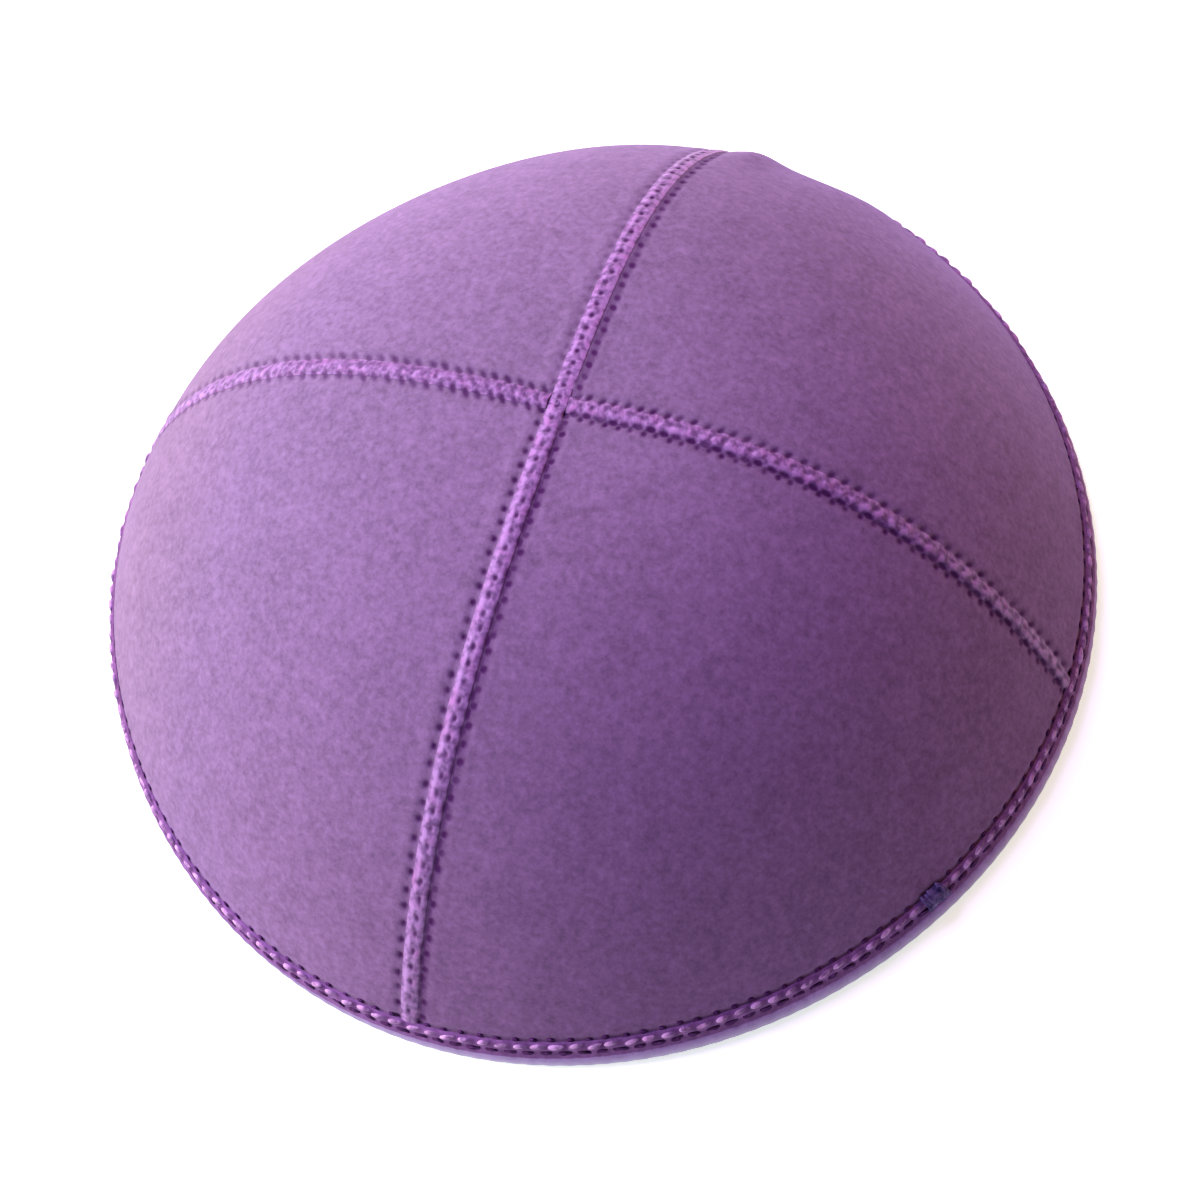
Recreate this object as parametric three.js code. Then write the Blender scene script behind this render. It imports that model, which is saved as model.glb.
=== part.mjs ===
// A kippah sewn from four quarter panels of suede, standing on its rim as it lies on a table.
// Millimetres, +Z up. The origin is on the surface it stands on, at the middle of the rim.
// +X points to the right seam, +Y to the back seam and -Y to the front seam.
import * as THREE from "three";
import { ParametricGeometry } from "three/addons/geometries/ParametricGeometry.js";
import { mergeGeometries, mergeVertices } from "three/addons/utils/BufferGeometryUtils.js";

// Crown: the outer face of the suede
const rimRadius = 81.5;
const crownHeight = 54;
const shoulderPower = 2.65; // higher keeps the top flat further out
const sidePower = 0.83; // lower brings the sides down more steeply at the rim
const suedeThickness = 1.2;
const pieceGap = 0.3;
const topLean = { x: 1.8, y: 2.2 }; // the crossing sits a little off the rim's middle
const seamSpread = 0.52; // half way down, the seams stand out and the panels draw in by this

// Waves round the rim: how many lobes, how far each stands out, and where the first one points
const rimWaves = [
  { lobes: 2, reachOut: 0.4, azimuth: 74 },
  { lobes: 3, reachOut: 0.42, azimuth: 65 },
  { lobes: 4, reachOut: 0.52, azimuth: 0 },
];

// Soft buckles in the suede beside the back seam, and how far each fades away on either side of its middle
const buckles = [
  { azimuth: 84.8, fromTop: 78, height: 1.3, acrossSpread: 2.6, alongSpread: 8 },
  { azimuth: 70, fromTop: 88, height: 0.6, acrossSpread: 5, alongSpread: 12 },
];

// Seams: where each meets the rim, and how far round it has swung by the time it reaches the top
const seams = {
  right: { azimuth: 0, swing: 4.4 },
  back: { azimuth: 90, swing: 2.2 },
  left: { azimuth: 180, swing: -0.6 },
  front: { azimuth: 270, swing: 1.9 },
};

// Panels run counterclockwise, seen from above, from one seam to the next
const panels = [
  { name: "panel_back_right", from: seams.right, to: seams.back },
  { name: "panel_back_left", from: seams.back, to: seams.left },
  { name: "panel_front_left", from: seams.left, to: seams.front },
  { name: "panel_front_right", from: seams.front, to: seams.right },
];
const panelTipRadius = 0.5; // the four tips end this far from the crossing

// Seam bands: the raised, thread-covered welt over each seam
const bandWidth = 3.2;
const bandEdgeHeight = 0.45;
const bandCrestHeight = 0.95;

// Rim binding: a folded strip that grips the panels' lower edges
const bindingLeg = 0.6; // thickness of each leg of the fold
const bindingReach = 3.0; // how far the legs come up over the panels
const edgeLift = 1.6; // the panels' outer lower edge above the surface the cap stands on
const bindingHeelInset = 0.5; // how far the flat underside stays back from the legs' outer faces

// Steps that the curved faces are divided into
const panelRows = 16;
const panelColumns = 16;
const bandSteps = 28; // from the top to the rim
const bandColumns = 4;
const bindingSteps = 96;

const suede = new THREE.MeshStandardMaterial({ color: 0x8a6399, roughness: 0.95, metalness: 0 });
const seamThread = new THREE.MeshStandardMaterial({ color: 0xb385cb, roughness: 0.55, metalness: 0 });
const bindingSuede = new THREE.MeshStandardMaterial({ color: 0x7b4f8e, roughness: 0.85, metalness: 0 });

const radians = THREE.MathUtils.degToRad;
const topReach = 0.005; // reach is 0 at the top and 1 at the rim; closer in, a normal cannot be told
const slopeStep = 0.002; // step in reach and in radians for working out a normal
const arcSamples = 600;

// Height of the outer face above the surface the cap stands on
function heightAt(reach) {
  const drop = Math.max(0, 1 - Math.pow(reach, shoulderPower));
  return edgeLift + (crownHeight - edgeLift) * Math.pow(drop, sidePower);
}

function rimRadiusAt(azimuth) {
  let radius = rimRadius;
  for (const wave of rimWaves) {
    radius += wave.reachOut * Math.cos(wave.lobes * (azimuth - radians(wave.azimuth)));
  }
  return radius;
}

// The middle of the rim's own box, which is moved onto the origin
function findRimMiddle() {
  const box = new THREE.Box2();
  for (let degrees = 0; degrees < 360; degrees += 0.5) {
    const azimuth = radians(degrees);
    const radius = rimRadiusAt(azimuth);
    box.expandByPoint(new THREE.Vector2(radius * Math.cos(azimuth), radius * Math.sin(azimuth)));
  }
  return box.getCenter(new THREE.Vector2());
}
const rimMiddle = findRimMiddle();

// How far the suede has come from the top at each of a run of reaches
function measureProfile() {
  const profile = [{ reach: 0, fromTop: 0 }];
  for (let sample = 1; sample <= arcSamples; sample++) {
    const before = profile[sample - 1];
    const reach = 1 - Math.pow(1 - sample / arcSamples, 2); // samples crowd towards the steep rim
    const out = (reach - before.reach) * rimRadius;
    const down = heightAt(before.reach) - heightAt(reach);
    profile.push({ reach, fromTop: before.fromTop + Math.hypot(out, down) });
  }
  return profile;
}
const profile = measureProfile();
const topToRim = profile[arcSamples].fromTop;

function reachAt(fromTop) {
  const next = profile.findIndex((sample) => sample.fromTop >= fromTop);
  if (next < 0) return 1;
  if (next === 0) return 0;
  const [low, high] = [profile[next - 1], profile[next]];
  const share = (fromTop - low.fromTop) / (high.fromTop - low.fromTop);
  return THREE.MathUtils.lerp(low.reach, high.reach, share);
}

function plainPoint(reach, azimuth) {
  const spread = seamSpread * Math.cos(4 * azimuth) * 4 * reach * (1 - reach);
  const radius = reach * rimRadiusAt(azimuth) + spread;
  const lean = 1 - reach * reach;
  return new THREE.Vector3(
    radius * Math.cos(azimuth) + topLean.x * lean - rimMiddle.x,
    radius * Math.sin(azimuth) + topLean.y * lean - rimMiddle.y,
    heightAt(reach),
  );
}

function normalFrom(pointAt, reach, azimuth) {
  const inner = pointAt(reach - slopeStep, azimuth);
  const outer = pointAt(Math.min(1, reach + slopeStep), azimuth);
  const before = pointAt(reach, azimuth - slopeStep);
  const after = pointAt(reach, azimuth + slopeStep);
  return outer.sub(inner).cross(after.sub(before)).normalize();
}

for (const buckle of buckles) {
  const azimuth = radians(buckle.azimuth);
  buckle.middle = plainPoint(reachAt(buckle.fromTop), azimuth);
  buckle.acrossWay = new THREE.Vector3(-Math.sin(azimuth), Math.cos(azimuth), 0);
}

function buckleLift(point) {
  let lift = 0;
  for (const buckle of buckles) {
    const offset = point.clone().sub(buckle.middle);
    const across = offset.dot(buckle.acrossWay);
    const alongSquared = Math.max(0, offset.lengthSq() - across * across);
    const fade = (across / buckle.acrossSpread) ** 2 + alongSquared / buckle.alongSpread ** 2;
    lift += buckle.height * Math.exp(-fade / 2);
  }
  return lift;
}

function outerPoint(reach, azimuth) {
  const point = plainPoint(reach, azimuth);
  return point.addScaledVector(normalFrom(plainPoint, reach, azimuth), buckleLift(point));
}

// A point of the crown, raised from the outer face of the suede along its normal
function crownPoint(reach, azimuth, raised = 0) {
  const safeReach = Math.max(topReach, reach);
  const point = outerPoint(safeReach, azimuth);
  return point.addScaledVector(normalFrom(outerPoint, safeReach, azimuth), raised);
}

function seamAzimuth(seam, reach) {
  return radians(seam.azimuth + seam.swing * (1 - reach));
}

// One face of a body. It looks towards the cross product of its first and second directions.
function face(pointAt, firstSteps, secondSteps) {
  const write = (first, second, target) => target.copy(pointAt(first, second));
  return new ParametricGeometry(write, firstSteps, secondSteps);
}

function closedBody(faces) {
  for (const side of faces) {
    side.deleteAttribute("normal");
    side.deleteAttribute("uv");
  }
  const body = mergeVertices(mergeGeometries(faces));
  body.computeVertexNormals();
  return body;
}

// A body with six curved sides. pointAt takes shares from 0 to 1 along it, across it and up through it,
// and along, across and up make a right-handed set.
function sixSidedBody(pointAt, alongSteps, acrossSteps) {
  return closedBody([
    face((along, across) => pointAt(along, across, 1), alongSteps, acrossSteps),
    face((across, along) => pointAt(along, across, 0), acrossSteps, alongSteps),
    face((along, up) => pointAt(along, 0, up), alongSteps, 1),
    face((up, along) => pointAt(along, 1, up), 1, alongSteps),
    face((up, across) => pointAt(0, across, up), 1, acrossSteps),
    face((across, up) => pointAt(1, across, up), acrossSteps, 1),
  ]);
}

function makePanel({ name, from, to }) {
  const pointAt = (along, across, up) => {
    const reach = reachAt(THREE.MathUtils.lerp(panelTipRadius, topToRim, along));
    const halfGap = pieceGap / 2 / (reach * rimRadius);
    const start = seamAzimuth(from, reach) + halfGap;
    const turn = to.azimuth > from.azimuth ? 0 : 2 * Math.PI;
    const end = seamAzimuth(to, reach) + turn - halfGap;
    return crownPoint(reach, THREE.MathUtils.lerp(start, end, across), (up - 1) * suedeThickness);
  };
  const panel = new THREE.Mesh(sixSidedBody(pointAt, panelRows, panelColumns), suede.clone());
  panel.name = name;
  return panel;
}

// Where a seam's line is, so far from the top. Distances below zero run down the backward seam instead.
function seamLine(fromTop, towards, backwards = towards) {
  const seam = fromTop < 0 ? backwards : towards;
  const reach = Math.max(topReach, reachAt(Math.abs(fromTop)));
  return { reach, azimuth: seamAzimuth(seam, reach) };
}

function makeBand(name, startFromTop, endFromTop, steps, towards, backwards) {
  const pointAt = (along, across, up) => {
    const fromTop = THREE.MathUtils.lerp(startFromTop, endFromTop, along);
    const here = seamLine(fromTop, towards, backwards);
    const back = seamLine(fromTop - slopeStep * rimRadius, towards, backwards);
    const on = seamLine(Math.min(topToRim, fromTop + slopeStep * rimRadius), towards, backwards);
    const direction = crownPoint(on.reach, on.azimuth).sub(crownPoint(back.reach, back.azimuth)).normalize();
    const point = crownPoint(here.reach, here.azimuth);
    const normal = crownPoint(here.reach, here.azimuth, 1).sub(point);
    const sideways = normal.clone().cross(direction).normalize();
    const side = 2 * across - 1;
    const dome = bandEdgeHeight + (bandCrestHeight - bandEdgeHeight) * Math.cos((side * Math.PI) / 2);
    point.addScaledVector(sideways, (side * bandWidth) / 2);
    return point.addScaledVector(normal, pieceGap + up * dome);
  };
  const band = new THREE.Mesh(sixSidedBody(pointAt, steps, bandColumns), seamThread.clone());
  band.name = name;
  return band;
}

// The binding's closed section at one azimuth, up its outer face first and down its inner face last
function bindingSection(azimuth) {
  const outside = pieceGap + bindingLeg;
  const inside = -suedeThickness - pieceGap - bindingLeg;
  const edge = (raised) => crownPoint(1, azimuth, raised);
  const leg = (share, raised) => crownPoint(reachAt(topToRim - share * bindingReach), azimuth, raised);
  const downWall = edge(0).sub(leg(0.1, 0)).normalize();
  const slotFloor = (raised) => edge(raised).addScaledVector(downWall, pieceGap);
  const inward = new THREE.Vector3(-Math.cos(azimuth), -Math.sin(azimuth), 0);
  const heel = (raised, inset) => {
    const point = edge(raised).addScaledVector(inward, inset);
    return point.setZ(0);
  };
  return [
    heel(outside, bindingHeelInset),
    edge(outside),
    leg(0.5, outside),
    leg(0.9, outside),
    leg(1, pieceGap + bindingLeg / 2),
    leg(0.9, pieceGap),
    slotFloor(pieceGap),
    slotFloor(-suedeThickness - pieceGap),
    leg(0.9, -suedeThickness - pieceGap),
    leg(1, -suedeThickness - pieceGap - bindingLeg / 2),
    leg(0.9, inside),
    leg(0.5, inside),
    edge(inside),
    heel(inside, -bindingHeelInset),
  ];
}

function makeBinding() {
  const sections = [];
  for (let step = 0; step < bindingSteps; step++) {
    sections.push(bindingSection((2 * Math.PI * step) / bindingSteps));
  }
  const corners = sections[0].length;
  const pointAt = (around, over) => {
    const section = sections[Math.round(around * bindingSteps + bindingSteps) % bindingSteps];
    return section[Math.round(over * corners + corners) % corners];
  };
  const binding = new THREE.Mesh(closedBody([face(pointAt, bindingSteps, corners)]), bindingSuede);
  binding.name = "rim_binding";
  return binding;
}

const kippah = new THREE.Group();
for (const panel of panels) kippah.add(makePanel(panel));

const bandEnd = topToRim - bindingReach - pieceGap;
const crossingClearance = bandWidth / 2 + pieceGap;
kippah.add(makeBand("seam_band_front_back", -bandEnd, bandEnd, 2 * bandSteps, seams.back, seams.front));
kippah.add(makeBand("seam_band_right", crossingClearance, bandEnd, bandSteps, seams.right));
kippah.add(makeBand("seam_band_left", crossingClearance, bandEnd, bandSteps, seams.left));
kippah.add(makeBinding());

export default kippah;
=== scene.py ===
# A suede kippah of four quarter panels, with raised cover-stitched seams and an overstitched binding.
# Pieces are modelled flat, in millimetres, and then laid on the crown. Blender's own units are metres.
import math

import bmesh
import bpy
import numpy as np
from mathutils import Matrix, Vector


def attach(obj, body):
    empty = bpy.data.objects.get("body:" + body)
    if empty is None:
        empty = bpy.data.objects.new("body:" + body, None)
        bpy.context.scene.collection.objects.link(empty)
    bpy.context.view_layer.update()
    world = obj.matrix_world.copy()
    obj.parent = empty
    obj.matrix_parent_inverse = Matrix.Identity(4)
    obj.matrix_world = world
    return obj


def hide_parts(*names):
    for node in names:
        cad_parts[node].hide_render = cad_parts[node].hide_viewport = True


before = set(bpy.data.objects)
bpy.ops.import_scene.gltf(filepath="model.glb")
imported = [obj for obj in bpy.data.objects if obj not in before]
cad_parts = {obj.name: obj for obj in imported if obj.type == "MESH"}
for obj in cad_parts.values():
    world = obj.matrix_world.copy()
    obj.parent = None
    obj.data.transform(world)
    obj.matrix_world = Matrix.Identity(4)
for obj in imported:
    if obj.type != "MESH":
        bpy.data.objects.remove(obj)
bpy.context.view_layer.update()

mm = 0.001

# The crown's outer face
crown = {
    "rimRadius": 81.5,
    "height": 54.0,
    "edgeLift": 1.6,        # the panels end this high over the surface, inside the binding
    "shoulderPower": 2.65,
    "sidePower": 0.83,
    "leanX": 1.8,           # the top stands this far off the rim's middle
    "leanY": 2.2,
    "seamSpread": 0.52,     # how much wider the crown is along its seams, and narrower between them
    "thickness": 1.2,
    "panelGap": 0.3,
    "flatTo": 15,           # seams are laid out flat as far as this from the top,
    "curvedFrom": 30,       # and follow their azimuth from here on
    "asideFrom": 20,        # a seam's stitches are fully to the side of the join from here on
    "squareOver": 3,        # height over which the rim's outward direction turns square to the suede
    "topReach": 0.005,      # nothing is laid nearer the top than this share of the way to the rim
    "slopeStep": 0.002,
    "arcSamples": 600,
}
rimWaves = [
    {"lobes": 2, "reachOut": 0.40, "azimuth": 74},
    {"lobes": 3, "reachOut": 0.42, "azimuth": 65},
    {"lobes": 4, "reachOut": 0.52, "azimuth": 0},
]
buckles = [
    {"azimuth": 84.8, "fromTop": 78, "height": 1.3, "acrossSpread": 2.6, "alongSpread": 8},
    {"azimuth": 70.0, "fromTop": 88, "height": 0.6, "acrossSpread": 5.0, "alongSpread": 12},
]
# First is the length of the stitch nearest the top. Growth, drift and lead say how the later ones differ.
# Aside is how far a seam's stitches are to the side of the join under them.
seams = {
    "right": {"azimuth": 0, "swing": 4.4, "first": 1.795, "growth": 0.0116, "drift": -0.074, "lead": -0.02},
    "back": {"azimuth": 90, "swing": 2.2, "first": 1.990, "growth": 0.0121, "drift": 0.287, "lead": -0.64,
             "aside": -0.2},
    "left": {"azimuth": 180, "swing": -0.6, "first": 1.896, "growth": 0.0123, "drift": 0.383, "lead": -0.64},
    "front": {"azimuth": 270, "swing": 1.9, "first": 2.117, "growth": 0.0110, "drift": -0.053, "lead": 0.20},
}


def heightAt(reach):
    fall = np.clip(1 - reach ** crown["shoulderPower"], 0, None) ** crown["sidePower"]
    return crown["edgeLift"] + (crown["height"] - crown["edgeLift"]) * fall


def rimRadiusAt(azimuth):
    radius = crown["rimRadius"] + 0 * azimuth
    for lobe in rimWaves:
        turned = azimuth - math.radians(lobe["azimuth"])
        radius = radius + lobe["reachOut"] * np.cos(lobe["lobes"] * turned)
    return radius


def findRimMiddle():
    azimuth = np.radians(np.arange(0, 360, 0.5))
    x = rimRadiusAt(azimuth) * np.cos(azimuth)
    y = rimRadiusAt(azimuth) * np.sin(azimuth)
    return (x.max() + x.min()) / 2, (y.max() + y.min()) / 2


def measureProfile():
    reach = 1 - (1 - np.linspace(0, 1, crown["arcSamples"] + 1)) ** 2
    step = np.hypot(np.diff(reach) * crown["rimRadius"], np.diff(heightAt(reach)))
    return reach, np.concatenate([[0], np.cumsum(step)])


rimMiddle = findRimMiddle()
profileReach, profileFromTop = measureProfile()
topToRim = profileFromTop[-1]


def reachAt(fromTop):
    return np.interp(fromTop, profileFromTop, profileReach)


def plainPoint(reach, azimuth):
    spread = crown["seamSpread"] * np.cos(4 * azimuth) * 4 * reach * (1 - reach)
    radius = reach * rimRadiusAt(azimuth) + spread
    lean = 1 - reach * reach
    x = radius * np.cos(azimuth) + crown["leanX"] * lean - rimMiddle[0]
    y = radius * np.sin(azimuth) + crown["leanY"] * lean - rimMiddle[1]
    return np.stack([x, y, heightAt(reach) + 0 * x], axis=-1)


def normalOf(surface, reach, azimuth):
    step = crown["slopeStep"]
    outward = surface(np.minimum(1, reach + step), azimuth) - surface(reach - step, azimuth)
    around = surface(reach, azimuth + step) - surface(reach, azimuth - step)
    normal = np.cross(outward, around)
    return normal / np.linalg.norm(normal, axis=-1, keepdims=True)


def outerPoint(reach, azimuth):
    point = plainPoint(reach, azimuth)
    lift = 0
    for buckle in buckles:
        turn = math.radians(buckle["azimuth"])
        middle = plainPoint(reachAt(buckle["fromTop"]), np.array(turn))
        offset = point - middle
        across = offset @ np.array([-math.sin(turn), math.cos(turn), 0])
        along2 = np.clip((offset ** 2).sum(axis=-1) - across ** 2, 0, None)
        fade = (across / buckle["acrossSpread"]) ** 2 + along2 / buckle["alongSpread"] ** 2
        lift = lift + buckle["height"] * np.exp(-fade / 2)
    return point + normalOf(plainPoint, reach, azimuth) * lift[..., None]


# A point of the crown, raised from the suede's outer face
def crownPoint(reach, azimuth, raised):
    reach = np.maximum(reach, crown["topReach"])
    return outerPoint(reach, azimuth) + normalOf(outerPoint, reach, azimuth) * raised[..., None]


def seamAzimuth(seam, reach):
    return np.radians(seam["azimuth"] + seam["swing"] * (1 - reach))


# 1 near the top, where seams are laid out flat, and 0 further down, where they follow their azimuth
def nearTop(fromTop):
    return np.clip((crown["curvedFrom"] - fromTop) / (crown["curvedFrom"] - crown["flatTo"]), 0, 1)


def asideAt(seamName, fromTop):
    return seams[seamName].get("aside", 0) * np.clip(fromTop / crown["asideFrom"], 0, 1)


# A place so far along a seam line from the top, to one side of its stitches, and above the suede.
# Below zero, along runs down the seam behind.
def seamPoint(line, along, side, raised):
    ahead, behind = seams[line["ahead"]], seams[line["behind"]]
    far = np.abs(along)
    turn = np.where(along < 0, -1.0, 1.0)
    side = side + np.where(along < 0, -asideAt(line["behind"], far), asideAt(line["ahead"], far))
    reach = np.maximum(reachAt(far), crown["topReach"])
    azimuth = np.where(along < 0, seamAzimuth(behind, reach), seamAzimuth(ahead, reach))
    flatTurn = np.arctan2(side, np.maximum(far, 1e-6))
    curvedTurn = side / (reach * crown["rimRadius"])
    near = nearTop(far)
    fromTop = near * np.hypot(far, side) + (1 - near) * far
    spread = near * flatTurn + (1 - near) * curvedTurn
    return crownPoint(reachAt(fromTop), azimuth + turn * spread, raised)


counting = {
    "driftMiddle": 30,      # the stitches' drift is nothing here, and stays the same past driftTo
    "driftTo": 60,
    "first": 1.5,           # distances from the top that the stitches are counted at
    "last": 104,
    "step": 0.25,
}


# The number of the stitch that is so far from the top, counted down the seam
def stitchNumber(seamName, fromTop):
    seam, middle = seams[seamName], counting["driftMiddle"]
    drift = seam["drift"] * ((np.minimum(fromTop, counting["driftTo"]) - middle) / middle) ** 3
    return np.log(1 + seam["growth"] * fromTop / seam["first"]) / seam["growth"] + drift - seam["lead"]


# Distances along a line with their stitch numbers, which are below zero behind the top
def numberTable(line):
    distances = np.arange(counting["first"], counting["last"], counting["step"])
    numbers = stitchNumber(line["ahead"], distances)
    if line["behind"] != line["ahead"]:
        numbers = np.concatenate([-stitchNumber(line["behind"], distances)[::-1], numbers])
        distances = np.concatenate([-distances[::-1], distances])
    return distances, numbers


def alongLine(line, number):
    distances, numbers = numberTable(line)
    return np.interp(number, numbers, distances)


# A place round the rim, so far up from the surface that the kippah stands on, and out from the suede.
# Out is level at the very edge and square to the suede a few millimetres higher.
def rimPoint(azimuth, up, out):
    reach = reachAt(topToRim - np.clip(up - crown["edgeLift"], 0, None))
    outward = normalOf(outerPoint, reach, azimuth)
    outward[..., 2] *= np.clip((up - crown["edgeLift"]) / crown["squareOver"], 0, 1)
    outward /= np.linalg.norm(outward, axis=-1, keepdims=True)
    point = outerPoint(reach, azimuth) + outward * out[..., None]
    point[..., 2] += np.minimum(up - crown["edgeLift"], 0)
    return point


# Modelling helpers
def wave(distance, pitch):
    return 0.5 - 0.5 * np.cos(2 * math.pi * distance / pitch)      # 0 at each stitch, 1 half way between


def bump(offset, spread):
    return np.exp(-(offset / spread) ** 2)


def toNearest(distance, pitch):
    return distance - pitch * np.round(distance / pitch)


# Hand-made unevenness: each numbered stitch gets its own values, from -1 to 1, and an offset gives
# the same stitch others
uneven = np.random.default_rng(11).uniform(-1, 1, (97, 4))


def unevenAt(number, column, offset=0):
    return uneven[(np.asarray(number).astype(int) + offset) % len(uneven), column]


# Turns a flat bmesh into a mesh, keeps its flat place as a UV map, and lays it on the crown. Tones gives
# the values of the vertex attributes that its material reads, by their names.
def layDown(bm, name, place, copies=1, step=0.0, tones=None):
    bmesh.ops.recalc_face_normals(bm, faces=bm.faces[:])
    mesh = bpy.data.meshes.new(name)
    bm.to_mesh(mesh)
    bm.free()
    if copies > 1:
        mesh = repeated(mesh, name, copies, step)
    flat = np.empty(len(mesh.vertices) * 3)
    mesh.vertices.foreach_get("co", flat)
    flat = flat.reshape(-1, 3)
    corners = np.empty(len(mesh.loops), dtype=np.int64)
    mesh.loops.foreach_get("vertex_index", corners)
    uvMap = mesh.uv_layers.new(name="flatPlace")
    uvMap.data.foreach_set("uv", flat[corners, :2].ravel())
    placed = place(flat[:, 0], flat[:, 1], flat[:, 2]) * mm
    mesh.vertices.foreach_set("co", placed.ravel())
    if tones:
        for toneName, values in tones(flat[:, 0], flat[:, 1], flat[:, 2]).items():
            mesh.attributes.new(toneName, "FLOAT", "POINT").data.foreach_set("value", values)
    mesh.update()
    for polygon in mesh.polygons:
        polygon.use_smooth = True
    piece = bpy.data.objects.new(name, mesh)
    bpy.context.scene.collection.objects.link(piece)
    return piece


def repeated(mesh, name, copies, step):
    helper = bpy.data.objects.new(name + "Helper", mesh)
    bpy.context.scene.collection.objects.link(helper)
    array = helper.modifiers.new("copies", "ARRAY")
    array.count = copies
    array.use_relative_offset = False
    array.use_constant_offset = True
    array.constant_offset_displace = (step, 0, 0)
    graph = bpy.context.evaluated_depsgraph_get()
    whole = bpy.data.meshes.new_from_object(helper.evaluated_get(graph))
    bpy.data.objects.remove(helper)
    return whole


def finishPiece(piece, material, slotName, *nodes):
    piece.data.materials.append(material)
    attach(piece, "root")
    if nodes:
        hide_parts(*nodes)
    return piece


# A slab one unit deep under a flat grid. x and y run from -1 to 1 and z from -1 to 0.
# Its under side takes the second material, if the piece has one.
def addSlab(bm, columns, rows):
    bmesh.ops.create_grid(bm, x_segments=columns, y_segments=rows, size=1)
    under = bmesh.ops.extrude_face_region(bm, geom=bm.faces[:], use_keep_orig=True)["geom"]
    bmesh.ops.translate(bm, vec=(0, 0, -1), verts=[v for v in under if isinstance(v, bmesh.types.BMVert)])
    for face in under:
        if isinstance(face, bmesh.types.BMFace):
            face.material_index = 1


# A short thread through a few points, given as (x, y, z)
def addStrand(bm, points, radius, sides=6):
    points = [Vector(point) for point in points]
    rings = []
    for index, point in enumerate(points):
        before = points[max(index - 1, 0)]
        after = points[min(index + 1, len(points) - 1)]
        heading = (after - before).to_track_quat("Z", "Y").to_matrix().to_4x4()
        end = index in (0, len(points) - 1)
        ring = bmesh.ops.create_circle(
            bm, segments=sides, radius=radius * (0.7 if end else 1), cap_ends=end,
            matrix=Matrix.Translation(point) @ heading)["verts"]
        rings.append({edge for vert in ring for edge in vert.link_edges if edge.other_vert(vert) in ring})
    for first, second in zip(rings, rings[1:]):
        bmesh.ops.bridge_loops(bm, edges=list(first | second))


# Material helpers
class Flow:
    def __init__(self, tree, socket):
        self.tree, self.socket = tree, socket

    def math(self, operation, first, second=None):
        node = self.tree.nodes.new("ShaderNodeMath")
        node.operation = operation
        for index, value in enumerate(v for v in (first, second) if v is not None):
            if isinstance(value, Flow):
                self.tree.links.new(value.socket, node.inputs[index])
            else:
                node.inputs[index].default_value = value
        return Flow(self.tree, node.outputs[0])

    def __add__(self, other):
        return self.math("ADD", self, other)

    def __radd__(self, other):
        return self.math("ADD", other, self)

    def __sub__(self, other):
        return self.math("SUBTRACT", self, other)

    def __rsub__(self, other):
        return self.math("SUBTRACT", other, self)

    def __mul__(self, other):
        return self.math("MULTIPLY", self, other)

    def sine(self):
        return self.math("SINE", self)

    def size(self):
        return self.math("ABSOLUTE", self)


class Finish:
    def __init__(self, name):
        self.material = bpy.data.materials.new(name)
        self.material.use_nodes = True
        self.tree = self.material.node_tree
        self.shader = self.tree.nodes["Principled BSDF"]

    def node(self, kind, settings, sockets, output=0):
        node = self.tree.nodes.new(kind)
        for key, value in settings.items():
            setattr(node, key, value)
        for key, value in sockets.items():
            self.feed(node.inputs[key], value)
        return Flow(self.tree, node.outputs[output])

    def feed(self, socket, value):
        if isinstance(value, Flow):
            self.tree.links.new(value.socket, socket)
        else:
            socket.default_value = value

    def surface(self, **values):
        for key, value in values.items():
            self.feed(self.shader.inputs[key], value)

    def noise(self, place, scale, detail, roughness):
        sockets = {"Vector": place, "Scale": scale, "Detail": detail, "Roughness": roughness}
        return self.node("ShaderNodeTexNoise", {"noise_dimensions": "3D"}, sockets, "Fac")

    def blend(self, factor, first, second):
        settings = {"data_type": "RGBA", "blend_type": "MIX", "clamp_factor": True}
        return self.node("ShaderNodeMix", settings, {0: factor, 6: first, 7: second}, 2)

    def tint(self, factor, colour, multiplier):
        settings = {"data_type": "RGBA", "blend_type": "MULTIPLY", "clamp_factor": True}
        return self.node("ShaderNodeMix", settings, {0: factor, 6: colour, 7: multiplier}, 2)

    def tone(self, name):
        return self.node("ShaderNodeAttribute", {"attribute_name": name}, {}, "Fac")

    # Painted shade: where the markShade tone is high, the surface gives way to a plain dark one with no
    # sheen. It darkens the needle holes and hollows in the suede or thread, which get no light on their nap,
    # the creases of the binding's fold and the lines of shade beside the seams' thread
    def paintShadeInHollows(self):
        whole = self.tree.nodes["Material Output"].inputs["Surface"]
        hollowShade = {"Base Color": paintedShadeColour, "Roughness": 0.95, "Specular IOR Level": 0.1}
        second = self.node("ShaderNodeBsdfPrincipled", {}, hollowShade)
        first = Flow(self.tree, self.shader.outputs[0])
        sockets = {0: self.tone("markShade"), 1: first, 2: second}
        self.feed(whole, self.node("ShaderNodeMixShader", {}, sockets))


# Colour of the painted shade
paintedShadeColour = (0.052, 0.011, 0.070, 1)


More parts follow.
